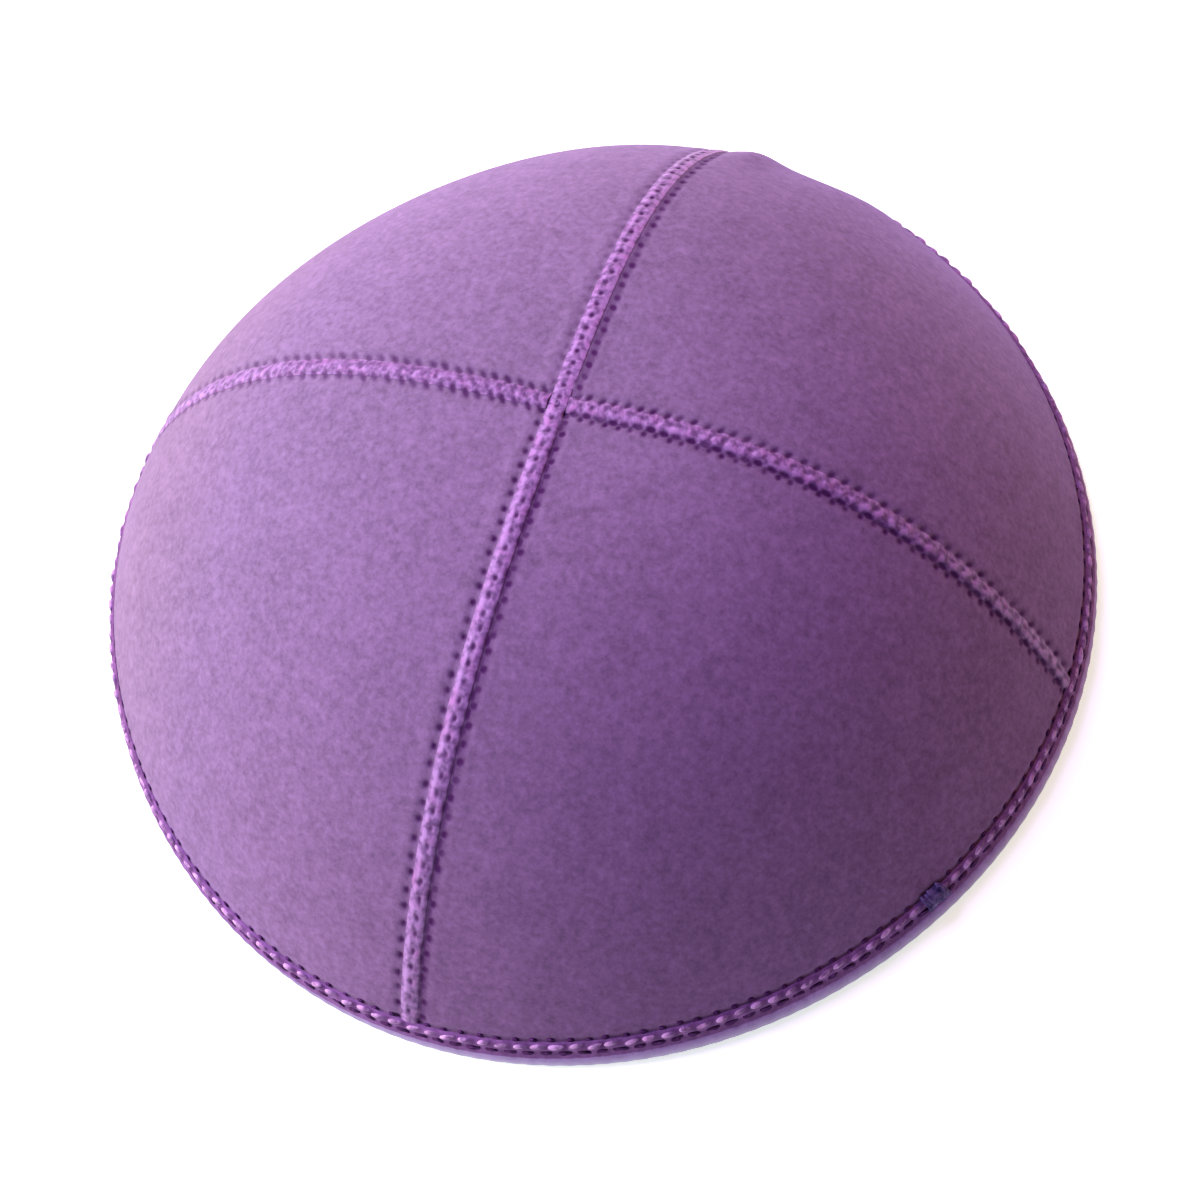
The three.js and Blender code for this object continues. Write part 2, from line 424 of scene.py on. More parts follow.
suedeLook = {
    "shade": (0.127, 0.080, 0.151, 1),
    "light": (0.236, 0.152, 0.282, 1),
    "paintedFrontShadeTint": (0.96, 0.76, 0.94, 1),     # painted shade: what the colours are multiplied by at the front right, the side away from the lights
    "paintedLeftLightTint": (1, 1, 0.87, 1),            # painted light: what the colours are multiplied by at the far left, less blue where the light grazes it
    "roughness": 0.95,
    "sheen": 0.22,
    "sheenRoughness": 0.45,
    "sheenTint": (0.57, 0.35, 0.83, 1),
    "fibreScale": 2600,     # features per metre
    "stippleScale": 950,
    "streakScale": 420,
    "streakStretch": 0.28,
    "patchScale": 110,
    "stippleWeight": 1.5,
    "fibreWeight": 0.6,
    "streakWeight": 0.8,
    "patchWeight": 0.35,
    "napHeight": 0.00016,   # metres
    "napStrength": 0.42,
    "paintedFrontShadeFrom": 0.15,      # share of the painted front shade at the middle, and its gain per metre
    "paintedFrontShadeGain": 8,
    "paintedLeftLightFrom": -0.045,     # painted light at the far left: metres from the middle, and the gain per metre past there
    "paintedLeftLightGain": 45,
    "pale": None,           # painted sheen: a paler colour near the surface that the kippah stands on, on the outer side, if it differs
    "paintedSheenBelow": 0.0034,    # metres
    "paintedSheenGain": 350,
    "paintedLeftShade": None,            # painted shade: colour at the left, where the light falls strongest, if it differs
    "paintedLeftShadeFrom": 0.015,
    "paintedLeftShadeGain": 22,
}


# Suede with a short nap: fine stipple, streaks brushed down the slope and a few faint patches, with painted
# shade at the front right and a painted light colour at the far left
def makeSuede(name, look):
    finish = Finish(name)
    place = finish.node("ShaderNodeTexCoord", {}, {}, "Object")
    brushed = finish.node("ShaderNodeVectorMath", {"operation": "MULTIPLY"},
                          {0: place, 1: (1, 1, look["streakStretch"])})
    fibre = finish.noise(place, look["fibreScale"], 2.0, 0.6)
    stipple = finish.noise(place, look["stippleScale"], 2.0, 0.6)
    streak = finish.noise(brushed, look["streakScale"], 2.0, 0.6)
    patch = finish.noise(place, look["patchScale"], 2.0, 0.5)
    tone = 0.5 + (stipple - 0.5) * look["stippleWeight"] + (fibre - 0.5) * look["fibreWeight"]
    tone = tone + (streak - 0.5) * look["streakWeight"] + (patch - 0.5) * look["patchWeight"]
    nap = stipple * 0.5 + fibre * 0.3 + streak * 0.2
    napBump = {"Strength": look["napStrength"], "Distance": look["napHeight"], "Height": nap}
    colour = finish.blend(tone, look["shade"], look["light"])
    across = finish.node("ShaderNodeSeparateXYZ", {}, {0: place}, 0)
    back = finish.node("ShaderNodeSeparateXYZ", {}, {0: place}, 1)
    # Painted shade: darker and less green towards the front right, away from the lights
    colour = finish.tint((across - back) * look["paintedFrontShadeGain"] + look["paintedFrontShadeFrom"], colour, look["paintedFrontShadeTint"])
    # Painted light: less blue at the far left, where the light grazes the suede
    colour = finish.tint((look["paintedLeftLightFrom"] - across) * look["paintedLeftLightGain"], colour, look["paintedLeftLightTint"])
    # Painted sheen: paler towards the floor on the binding's outer side, standing in for grazing sheen and
    # light from the bright floor
    if look["pale"]:
        height = finish.node("ShaderNodeSeparateXYZ", {}, {0: place}, 2)
        low = (look["paintedSheenBelow"] - height) * look["paintedSheenGain"] * finish.tone("paintedSheenSide")
        colour = finish.blend(low, colour, look["pale"])
    # Painted shade on the left, where the light falls strongest
    if look["paintedLeftShade"]:
        colour = finish.blend((look["paintedLeftShadeFrom"] - across) * look["paintedLeftShadeGain"], colour, look["paintedLeftShade"])
    finish.surface(**{
        "Base Color": colour,
        "Roughness": look["roughness"],
        "Sheen Weight": look["sheen"],
        "Sheen Roughness": look["sheenRoughness"],
        "Sheen Tint": look["sheenTint"],
        "Specular IOR Level": 0.15,
        "Normal": finish.node("ShaderNodeBump", {}, napBump, "Normal"),
    })
    finish.paintShadeInHollows()
    return finish.material


threadLook = {
    "shade": (0.110, 0.038, 0.150, 1),
    "light": (0.345, 0.180, 0.425, 1),
    "pink": (0.350, 0.135, 0.375, 1),
    "roughness": 0.70,
    "sheen": 0.12,
    "sheenRoughness": 0.4,
    "sheenTint": (0.85, 0.80, 1.0, 1),
    "plyPitch": 0.45,       # millimetres from ply to ply along the thread
    "plySlant": 0.9,
    "plyHeight": 0.00004,   # metres
    "fuzzScale": 4.5,       # features per millimetre
    "speckScale": 0.95,
    "patchScale": 0.45,
    "plyWeight": 0.08,
    "fuzzWeight": 0.35,
    "speckWeight": 2.9,
    "patchGain": 3,
    "reliefStrength": 0.6,
}


# Thread whose plies run slantwise to the flat place that the piece was modelled in, mottled with bright fuzz
# and pinker patches, and lightened by a tone attribute: a painted highlight on the seams' puffs, and a paler
# tone on the rim's stitches
def makeThread(name, look):
    finish = Finish(name)
    place = finish.node("ShaderNodeTexCoord", {}, {}, "UV")
    along = finish.node("ShaderNodeSeparateXYZ", {}, {0: place}, 0)
    side = finish.node("ShaderNodeSeparateXYZ", {}, {0: place}, 1)
    ply = ((along + side.size() * look["plySlant"]) * (2 * math.pi / look["plyPitch"])).sine() * 0.5 + 0.5
    fuzz = finish.noise(place, look["fuzzScale"], 2.0, 0.6)
    specks = finish.noise(place, look["speckScale"], 1.0, 0.5)
    patch = finish.noise(place, look["patchScale"], 1.0, 0.5)
    tone = 0.45 + (ply - 0.5) * look["plyWeight"] + (fuzz - 0.5) * look["fuzzWeight"]
    # the tone attribute lightens the thread: a painted highlight on the seams' puffs, and each rim stitch's
    # own paler tone
    tone = tone + (specks - 0.5) * look["speckWeight"] + finish.tone("highlightAndPaleTone")
    relief = ply * 0.4 + specks * 1.3 + fuzz * 0.25
    plyBump = {"Strength": look["reliefStrength"], "Distance": look["plyHeight"], "Height": relief}
    colour = finish.blend(tone, look["shade"], look["light"])
    pinker = finish.blend(tone, look["shade"], look["pink"])
    colour = finish.blend((patch - 0.45) * look["patchGain"], colour, pinker)
    finish.surface(**{
        "Base Color": colour,
        "Roughness": look["roughness"],
        "Sheen Weight": look["sheen"],
        "Sheen Roughness": look["sheenRoughness"],
        "Sheen Tint": look["sheenTint"],
        "Normal": finish.node("ShaderNodeBump", {}, plyBump, "Normal"),
    })
    finish.paintShadeInHollows()
    return finish.material


# A dark rough finish, grained between a deep colour and the one at its edge
def makeHole(name, deep, edge, grainScale):
    finish = Finish(name)
    place = finish.node("ShaderNodeTexCoord", {}, {}, "Object")
    colour = finish.blend((finish.noise(place, grainScale, 2.0, 0.6) - 0.5) * 3 + 0.4, deep, edge)
    finish.surface(**{"Base Color": colour, "Roughness": 0.95, "Specular IOR Level": 0.1})
    return finish.material


suede = makeSuede("suedeNap", suedeLook)
suedeReverse = makeSuede("suedeReverse", {**suedeLook, "shade": (0.100, 0.058, 0.120, 1),
                                          "light": (0.180, 0.110, 0.215, 1)})
bindingSuede = makeSuede("bindingSuede", {**suedeLook, "shade": (0.200, 0.105, 0.310, 1),
                                          "light": (0.370, 0.215, 0.530, 1), "pale": (0.53, 0.50, 0.62, 1),
                                          "paintedLeftShade": (0.220, 0.175, 0.300, 1), "paintedFrontShadeTint": (1, 1, 1, 1)})
foldSuede = makeSuede("foldSuede", {**suedeLook, "shade": (0.125, 0.052, 0.158, 1),
                                    "light": (0.262, 0.115, 0.315, 1), "paintedFrontShadeTint": (1, 1, 1, 1)})
thread = makeThread("lilacThread", threadLook)
rimThread = makeThread("rimThread", {**threadLook, "shade": (0.150, 0.058, 0.180, 1),
                                     "light": (0.515, 0.285, 0.545, 1), "pink": (0.500, 0.215, 0.465, 1)})
# Dark discs of painted shade for the binding's needle holes; the join's thread is dark of itself
holeDark = makeHole("needleHoleShade", (0.048, 0.010, 0.068, 1), (0.100, 0.026, 0.140, 1), 1800)
joinThread = makeHole("joinThread", (0.022, 0.014, 0.070, 1), (0.190, 0.140, 0.320, 1), 700)
print("materials made")

# The cover stitch over the seams. It is laid out flat with a stitch every 2.4 mm.
stitch = {
    "pitch": 2.4,
    "bandHeight": 0.25,
    "footHeight": 0.03,
    "bandHalfWidth": 1.40,
    "underHeight": 0.02,    # the band's under side is this high, or lower where its top is
    "leastThickness": 0.04,
    "bandRows": 12,         # rows of the mesh for each stitch
    "bandColumns": 30,
    "roundness": 1.3,
    "bulge": 0.16,          # share by which the thread sinks at each stitch
    "valley": 0.10,         # and along the seam's middle
    "valleySpread": 0.42,
    "holeSink": 0.42,
    "holeAlong": 0.42,
    "puffHeight": 0.08,
    "markDepth": 0.16,
    "markAlongUneven": 0.20,
    "markAsideUneven": 0.13,
    "markStrengthUneven": 0.18,
    "markCrispness": 1.5,
    "line": 9,              # half length of a mark that runs on from stitch to stitch, a line of painted shade
    "middleSink": 0.4,      # share of the band's height that a full mark takes away in the middle
    "edgeFrom": 0.8,        # past here from its middle the band goes down to its edge
    "edgeSpread": 0.5,
    "innerRow": 2.1,        # how far the outer rows on the wrong side are from the middle one
    "innerDash": [(0.12, 0.05), (0.45, -0.16), (1.20, -0.20), (1.95, -0.16), (2.28, 0.05)],
    "innerRadius": 0.22,
    "zigzagRadius": 0.17,
    "zigzagUnder": 0.34,
    "endFromTop": 100.9,
    "startBesideCrossing": 1.5,
}
seamLines = {
    "front_back": {"ahead": "front", "behind": "back", "start": -stitch["endFromTop"]},
    "right": {"ahead": "right", "behind": "right", "start": stitch["startBesideCrossing"]},
    "left": {"ahead": "left", "behind": "left", "start": stitch["startBesideCrossing"]},
}
# The needle holes and hollows of each stitch, sunk a little into the suede and thread and darkened with
# painted shade; a mark that runs on from stitch to stitch is a line of painted shade along the band. Each
# gives the share of a stitch that they are past the stitch's beginning, how far they are to the side, their
# half length, half width, turn and strength
marks = {
    "front": [(0.71, -1.98, 0.46, 0.42, 0, 1.0), (0.02, 0.06, 0.44, 0.30, 0, 0.80),
              (0.14, 2.15, 0.58, 0.60, 15, 1.0), (0.60, 1.66, 0.95, 0.44, 0, 0.85),
              (0.50, 2.10, stitch["line"], 0.80, 0, 0.50)],
    "right": [(0.22, -2.00, 0.50, 0.50, -20, 0.95), (0.72, -1.34, 0.95, 0.46, 0, 0.95),
              (0.56, 1.68, 0.76, 0.40, 40, 0.85), (0.05, 0.34, 0.60, 0.36, 30, 0.40),
              (0.50, -1.45, stitch["line"], 0.85, 0, 0.30)],
    "back": [(0.05, -2.32, 0.75, 0.56, 20, 1.0), (0.60, -1.95, 0.95, 0.45, 0, 0.50),
             (0.50, -2.35, stitch["line"], 0.66, 0, 0.58), (0.97, 0.02, 0.48, 0.38, 0, 0.90),
             (0.30, 1.68, 0.55, 0.38, 5, 0.40)],
    "left": [(0.85, -1.86, 0.90, 0.42, -33, 0.96), (0.60, 1.50, 0.95, 0.48, -48, 0.98),
             (0.08, 0.10, 0.50, 0.30, -30, 0.50), (0.50, -0.75, stitch["line"], 0.60, 0, 0.34),
             (0.50, 0.90, stitch["line"], 0.40, 0, 0.20)],
}
# Share of a spot's strength that is lost for each millimetre down from the top
fading = {"front": 0, "right": 0, "back": 0, "left": 0.0065}
# Where the thread is fullest, between the holes, in the same way. The same spots lighten the thread's colour,
# a painted highlight
puffsAndHighlights = {
    "front": [(0.55, -0.75, 0.70, 0.38, 0, 0.50), (0.50, -0.80, stitch["line"], 0.45, 0, 0.33),
              (0.50, 0.80, 0.70, 0.36, 0, 0.28)],
    "right": [(0.36, -0.40, 0.60, 0.40, 30, 0.45)],
    "back": [(0.50, 0.80, 0.70, 0.38, 0, 0.25), (0.50, -0.95, 0.70, 0.38, 0, 0.45),
             (0.50, -1.00, stitch["line"], 0.40, 0, 0.30)],
    "left": [(0.40, 0.20, 0.75, 0.42, -45, 0.15)],
}


# The strongest of a seam's spots at each place beside it, every stitch a little different. A hole or
# hollow has a crisper edge than a line.
def spotAt(spots, seamName, flat, side):
    strongest = 0 * flat
    for index, (share, aside, halfLength, halfWidth, turn, strength) in enumerate(spots[seamName]):
        number = np.round(flat / stitch["pitch"] - share)
        row = index * 13      # each spot of a stitch has its own unevenness
        middle = (number + share) * stitch["pitch"]
        past = flat - middle - stitch["markAlongUneven"] * unevenAt(number, 0, row)
        off = side - aside - stitch["markAsideUneven"] * unevenAt(number, 1, row)
        turned = math.radians(turn)
        lengthwise = past * math.cos(turned) + off * math.sin(turned)
        crosswise = off * math.cos(turned) - past * math.sin(turned)
        strong = strength * (1 + stitch["markStrengthUneven"] * unevenAt(number, 2, row))
        fade = bump(np.hypot(lengthwise / halfLength, crosswise / halfWidth), 1.0)
        if halfLength < stitch["line"]:
            fade = np.clip(stitch["markCrispness"] * fade, 0, 1)
        strongest = np.maximum(strongest, np.minimum(1, strong * fade))
    return strongest * (1 - fading[seamName] * flat)


panelShape = {
    "tipFromTop": 0.5,
    "rowStep": 0.25,
    "columns": 72,
    "edgeColumn": 0.22,     # width of the columns beside a seam
    "grooveDepth": 0.05,
    "grooveAt": 1.75,
    "grooveSpread": 0.50,
    "puffHeight": 0.08,
    "puffAt": 3.3,
    "puffSpread": 0.9,
    "spotsWithin": 4,       # no spot of a seam is further off than this
    "lastStitchPast": 1,    # the pull of the stitches ends this far past the last one
    "lastStitchFade": 1.5,
    "rimPull": 0.16,
    "rimPullSpread": 0.50,
    "rimPuff": 0.12,
    "rimPuffAt": 1.5,
    "rimPuffSpread": 1.0,
}
# The binding's upper row of needle holes wanders up and down round the rim
rimRowShape = {"lowest": 4.9, "middle": 5.0, "rise": 2.25, "highestAt": 330}


# How far the suede rises or sinks beside a seam, where stitches pull it down and it puffs up between them,
# and how much painted shade each place takes in the needle holes, the hollows and the lines of shade along
# the band
def seamPucker(seamName, along, side):
    shape = panelShape
    off = np.abs(side)
    flat = stitchNumber(seamName, np.clip(along, 0, None)) * stitch["pitch"]
    past = along - stitch["endFromTop"]
    stitched = np.clip((shape["lastStitchPast"] - past) / shape["lastStitchFade"], 0, 1)
    groove = -shape["grooveDepth"] * bump(off - shape["grooveAt"], shape["grooveSpread"])
    puff = shape["puffHeight"] * bump(off - shape["puffAt"], shape["puffSpread"])
    near = off < shape["spotsWithin"]
    shade = np.zeros_like(off)
    shade[near] = spotAt(marks, seamName, flat[near], side[near])
    return (groove + puff - stitch["markDepth"] * shade) * stitched, shade * stitched


# Height of the binding's upper row of needle holes
def rimRow(azimuth):
    shape = rimRowShape
    high = shape["middle"] + shape["rise"] * np.cos(azimuth - math.radians(shape["highestAt"]))
    return np.maximum(shape["lowest"], high)


def rimPucker(fromTop, azimuth):
    shape = panelShape
    up = topToRim - fromTop + crown["edgeLift"] - rimRow(azimuth)
    pull = shape["rimPull"] * bump(up, shape["rimPullSpread"])
    return shape["rimPuff"] * bump(up - shape["rimPuffAt"], shape["rimPuffSpread"]) - pull


def makePanel(name, startSeam, endSeam):
    shape = panelShape
    rows = round((topToRim - shape["tipFromTop"]) / shape["rowStep"])
    start, end = seams[startSeam], seams[endSeam]
    wholeTurn = 0 if end["azimuth"] > start["azimuth"] else 2 * math.pi

    def spread(x, y, z):
        fromTop = shape["tipFromTop"] + (topToRim - shape["tipFromTop"]) * (y + 1) / 2
        reach = reachAt(fromTop)
        halfGap = crown["panelGap"] / 2 / (reach * crown["rimRadius"])
        firstAzimuth = seamAzimuth(start, reach)
        lastAzimuth = seamAzimuth(end, reach) + wholeTurn
        halfWidth = (lastAzimuth - firstAzimuth) / 2 * reach * crown["rimRadius"]
        inward = 1 - np.abs(x)                    # 0 at a seam, 1 on the panel's middle line
        even = np.minimum(shape["edgeColumn"] * shape["columns"] / 2, halfWidth)
        fromSeam = even * inward + (halfWidth - even) * inward ** 3
        share = fromSeam / halfWidth / 2
        share = np.where(x > 0, 1 - share, share)
        low, high = firstAzimuth + halfGap, lastAzimuth - halfGap
        azimuth = low + (high - low) * share
        raised, shade = rimPucker(fromTop, azimuth), 0 * fromTop
        for seamName, seamAz in ((startSeam, firstAzimuth), (endSeam, lastAzimuth)):
            turned = azimuth - seamAz
            near = nearTop(fromTop)
            along = near * fromTop * np.cos(turned) + (1 - near) * fromTop
            side = near * fromTop * np.sin(turned) + (1 - near) * turned * reach * crown["rimRadius"]
            lift, hollowShade = seamPucker(seamName, along, side - asideAt(seamName, along))
            raised, shade = raised + lift, np.maximum(shade, hollowShade)
        under = z < -0.5
        return reach, azimuth, np.where(under, -crown["thickness"], raised), np.where(under, 0, shade)

    def place(x, y, z):
        return crownPoint(*spread(x, y, z)[:3])

    # The painted shade of the needle holes, hollows and lines of shade beside the seams
    def tones(x, y, z):
        return {"markShade": spread(x, y, z)[3]}

    bm = bmesh.new()
    addSlab(bm, shape["columns"], rows)
    panel = finishPiece(layDown(bm, "suede_" + name, place, tones=tones), suede, "suede", name)
    panel.data.materials.append(suedeReverse)
    length = (topToRim - shape["tipFromTop"]) * mm


makePanel("panel_back_right", "right", "back")
makePanel("panel_back_left", "back", "left")
makePanel("panel_front_left", "left", "front")
makePanel("panel_front_right", "front", "right")


# A list of spots along a seam line, whose stitches are counted below zero behind the top
def alongBoth(spots, line, flat, side):
    ahead = spotAt(spots, line["ahead"], flat, side)
    return np.where(flat < 0, spotAt(spots, line["behind"], -flat, -side), ahead)


# Height of the thread over the seam: a low rope, fullest between the stitches, with a valley down its
# middle and a hollow in that at each stitch
def bandHeight(line, flat, side):
    pitch = stitch["pitch"]
    full = 1 - stitch["bulge"] * (1 - wave(flat, pitch))
    rope = np.cos(math.pi / 2 * np.minimum(1, np.abs(side / stitch["bandHalfWidth"]))) ** stitch["roundness"]
    sink = stitch["valley"] + stitch["holeSink"] * bump(toNearest(flat, pitch), stitch["holeAlong"])
    height = stitch["bandHeight"] * rope * full * (1 - sink * bump(side, stitch["valleySpread"]))
    height = height + stitch["puffHeight"] * rope * alongBoth(puffsAndHighlights, line, flat, side)
    shade = alongBoth(marks, line, flat, side)
    # hollows at the edges go down into the suede
    off = np.clip((np.abs(side) - stitch["edgeFrom"]) / stitch["edgeSpread"], 0, 1)
    taken = shade * (stitch["middleSink"] + (1 - stitch["middleSink"]) * off)
    return (stitch["footHeight"] + height) * (1 - taken) - stitch["markDepth"] * shade * off


def makeBand(name, line):
    pitch = stitch["pitch"]
    first, last = np.interp([line["start"], stitch["endFromTop"]], *numberTable(line)) * pitch
    rows = round((last - first) / pitch * stitch["bandRows"])

    def place(x, y, z):
        top = bandHeight(line, x, y)
        foot = np.minimum(stitch["underHeight"], top - stitch["leastThickness"])
        return seamPoint(line, alongLine(line, x / pitch), y, np.where(z < -0.5, foot, top))

    # Tones of the thread: painted shade in its needle holes and hollows and along it, and a painted highlight
    # on its puffs
    def tones(x, y, z):
        return {"markShade": alongBoth(marks, line, x, y), "highlightAndPaleTone": alongBoth(puffsAndHighlights, line, x, y)}

    bm = bmesh.new()
    addSlab(bm, rows, stitch["bandColumns"])
    bmesh.ops.scale(bm, vec=((last - first) / 2, stitch["bandHalfWidth"], 1), verts=bm.verts[:])
    bmesh.ops.translate(bm, vec=((last + first) / 2, 0, 0), verts=bm.verts[:])
    laid = layDown(bm, "thread_band_" + name, place, tones=tones)
    band = finishPiece(laid, thread, "seam_thread", "seam_band_" + name)
    band.data.materials.append(thread)
    print("band", name, "faces", len(band.data.polygons))


for name, line in seamLines.items():
    makeBand(name, line)


# A needle hole or hollow: a shallow disc, ten-sided, dark with painted shade where it is used
def addHole(bm, place, alongRadius, acrossRadius):
    disc = bmesh.ops.create_cone(bm, cap_ends=True, segments=10, radius1=0.6, radius2=1, depth=0.1)["verts"]
    bmesh.ops.scale(bm, vec=(alongRadius, acrossRadius, 1), verts=disc)
    bmesh.ops.translate(bm, vec=place, verts=disc)


# Repeats what was modelled for a seam's second stitch down to the rim
def laySeamStitches(bm, name, seamName, material):
    line = {"ahead": seamName, "behind": seamName}
    pitch = stitch["pitch"]
    copies = int(stitchNumber(seamName, stitch["endFromTop"])) - 1

    def place(x, y, z):
        return seamPoint(line, alongLine(line, x / pitch), y, z)

    finishPiece(layDown(bm, name + "_" + seamName, place, copies, pitch), material, "seam_thread")


# On the wrong side the needle threads show as three rows of dashes under a zigzag of looper thread
def makeInnerStitches(seamName):
    pitch, under = stitch["pitch"], -crown["thickness"]
    edge = stitch["innerRow"]
    bm = bmesh.new()
    for side in (-edge, 0, edge):
        points = [(pitch + x, side, under + z) for x, z in stitch["innerDash"]]
        addStrand(bm, points, stitch["innerRadius"])
    laySeamStitches(bm, "inner_dashes", seamName, thread)
    bm = bmesh.new()
    for first, last in ((-edge, edge), (edge, -edge)):
        start = pitch if first < 0 else pitch * 1.5
        steps = (0, 0.33, 0.67, 1)
        level = under - stitch["zigzagUnder"]
        points = [(start + pitch / 2 * t, first + (last - first) * t, level) for t in steps]
        addStrand(bm, points, stitch["zigzagRadius"])
    laySeamStitches(bm, "inner_zigzag", seamName, thread)


for seamName in seams:
    makeInnerStitches(seamName)
print("seam stitches made")

binding = {
    "stitches": 181,
    "stepsPerStitch": 6,
    # The section's points as (out from the suede, up from the surface), all round the folded strip
    "section": [
        (-0.22, 5.28), (0.12, 5.18), (0.34, 4.96), (0.46, 4.60), (0.48, 4.15), (0.44, 3.80), (0.30, 3.48),
        (0.20, 3.15), (0.20, 2.75), (0.30, 2.40), (0.50, 2.08), (0.62, 1.65), (0.62, 1.15), (0.54, 0.55),
        (0.34, 0.18), (0.02, 0.0), (-0.60, 0.0), (-1.30, 0.0), (-1.80, 0.22), (-2.06, 0.90), (-2.00, 2.60),
        (-2.05, 4.50), (-1.90, 4.98), (-1.55, 4.98), (-1.34, 4.60), (-1.32, 2.00), (-1.22, 1.18),
        (-0.02, 1.18), (0.03, 2.00), (0.02, 4.66),
    ],
    "stretchFrom": 1.2,     # between these heights the section is stretched up to the row of needle holes
    "stretchTo": 2.2,
    "grooveBelowRow": 3.4,
    "spunAt": 20.0,         # the section is spun at this radius, and then carried out to the rim
    "rollPinch": 0.10,
    # Painted shade of the creases between the stitches, on the fold
    "rollAt": 1.3,
    "creaseAt": 0.42,       # share of a stitch past its middle
    "creaseSpread": 0.20,
    "creaseShadeStrength": 0.6,
    "creaseUneven": 0.3,
    "creaseFrom": 3.0,      # the creases are on the fold, between these heights of the section
    "creaseTo": 5.0,
    "outerFrom": -0.6,      # the painted sheen at the foot starts this far out from the suede
    "outerGain": 2,
    # Heights from here on are below the row
    "pillow": {"up": -1.05, "out": 0.38, "halfLength": 1.22, "halfHeight": 0.42, "thickness": 0.40,
               "slant": 12, "taper": 0.35},
    "upperHole": {"along": -0.72, "up": 0.0, "out": -0.02, "alongRadius": 0.60, "upRadius": 0.48},
    "lowerHole": {"along": 1.12, "up": -2.60, "out": 0.24, "alongRadius": 1.05, "upRadius": 0.62},
    "innerDash": [(-0.95, -1.8, -2.06), (-0.5, -1.8, -2.20), (0.5, -1.8, -2.20), (0.95, -1.8, -2.06)],
    "innerDashRadius": 0.24,
    # How much the stitches round the rim differ from one another, as shares or millimetres
    "uneven": {"stretch": 0.16, "along": 0.22, "up": 0.22, "slope": 0.14, "out": 0.2, "pale": 0.3},
    "paleTip": 0.55,        # how much paler a stitch gets for each millimetre towards its hole
}


# The section's heights, stretched so that the fold ends just under the row of needle holes
def foldHeight(azimuth, up):
    low, high = binding["stretchFrom"], binding["stretchTo"]
    stretch = rimRow(azimuth) - binding["grooveBelowRow"] - low
    within = np.clip((up - low) / (high - low), 0, 1) * stretch
    return np.minimum(up, low) + within + np.clip(up - high, 0, None)


def makeBindingRoll():
    middle = binding["spunAt"]
    count = binding["stitches"] * binding["stepsPerStitch"]
    bm = bmesh.new()
    ring = [bm.verts.new((middle + out, 0, up)) for out, up in binding["section"]]
    edges = [bm.edges.new((ring[i - 1], ring[i])) for i in range(len(ring))]
    bmesh.ops.spin(bm, geom=ring + edges, cent=(0, 0, 0), axis=(0, 0, 1), angle=2 * math.pi, steps=count,
                   use_merge=True)
    for face in bm.faces:
        face.material_index = 1 if face.calc_center_median().z > binding["stretchTo"] else 0

    def place(x, y, z):
        azimuth = np.arctan2(y, x)
        out = np.hypot(x, y) - middle
        stitched = wave(azimuth * binding["stitches"] / (2 * math.pi), 1)
        onRoll = bump(z - binding["rollAt"], 1.0) * (out > 0.3)
        return rimPoint(azimuth, foldHeight(azimuth, z), out - binding["rollPinch"] * (1 - stitched) * onRoll)

    # the thread pulls creases into the fold between the stitches, painted here as stripes of shade
    def tones(x, y, z):
        past = np.arctan2(y, x) * binding["stitches"] / (2 * math.pi) - binding["creaseAt"]
        depth = binding["creaseShadeStrength"] + binding["creaseUneven"] * unevenAt(np.round(past), 3)
        creaseShade = bump(toNearest(past, 1), binding["creaseSpread"]) * depth
        out = np.hypot(x, y) - middle
        low, high = binding["creaseFrom"], binding["creaseTo"]
        return {"markShade": creaseShade * (z > low) * (z < high) * (out > 0),
                "paintedSheenSide": np.clip((out - binding["outerFrom"]) * binding["outerGain"], 0, 1) * (z < low)}

    laid = layDown(bm, "suede_binding", place, tones=tones)
    roll = finishPiece(laid, bindingSuede, "binding", "rim_binding")
    roll.data.materials.append(foldSuede)
    print("binding faces", len(roll.data.polygons))


# Lays what was modelled for one stitch round the whole rim, with heights from the row of needle holes.
# No two stitches are quite alike.
def layRound(bm, name, material, slotName, tones=None):
    pitch = 2 * math.pi * crown["rimRadius"] / binding["stitches"]
    own = binding["uneven"]

    def place(x, y, z):
        number = np.round(x / pitch)
        fromMiddle = toNearest(x, pitch)
        along = x + fromMiddle * own["stretch"] * unevenAt(number, 0) + own["along"] * unevenAt(number, 1)
        up = y + own["up"] * unevenAt(number, 2) + own["slope"] * fromMiddle * unevenAt(number, 3)
        azimuth = along / crown["rimRadius"]
        out = z * (1 + own["out"] * unevenAt(number, 3, 31))
        return rimPoint(azimuth, rimRow(azimuth) + up, out)

    finishPiece(layDown(bm, name, place, binding["stitches"], pitch, tones), material, slotName)


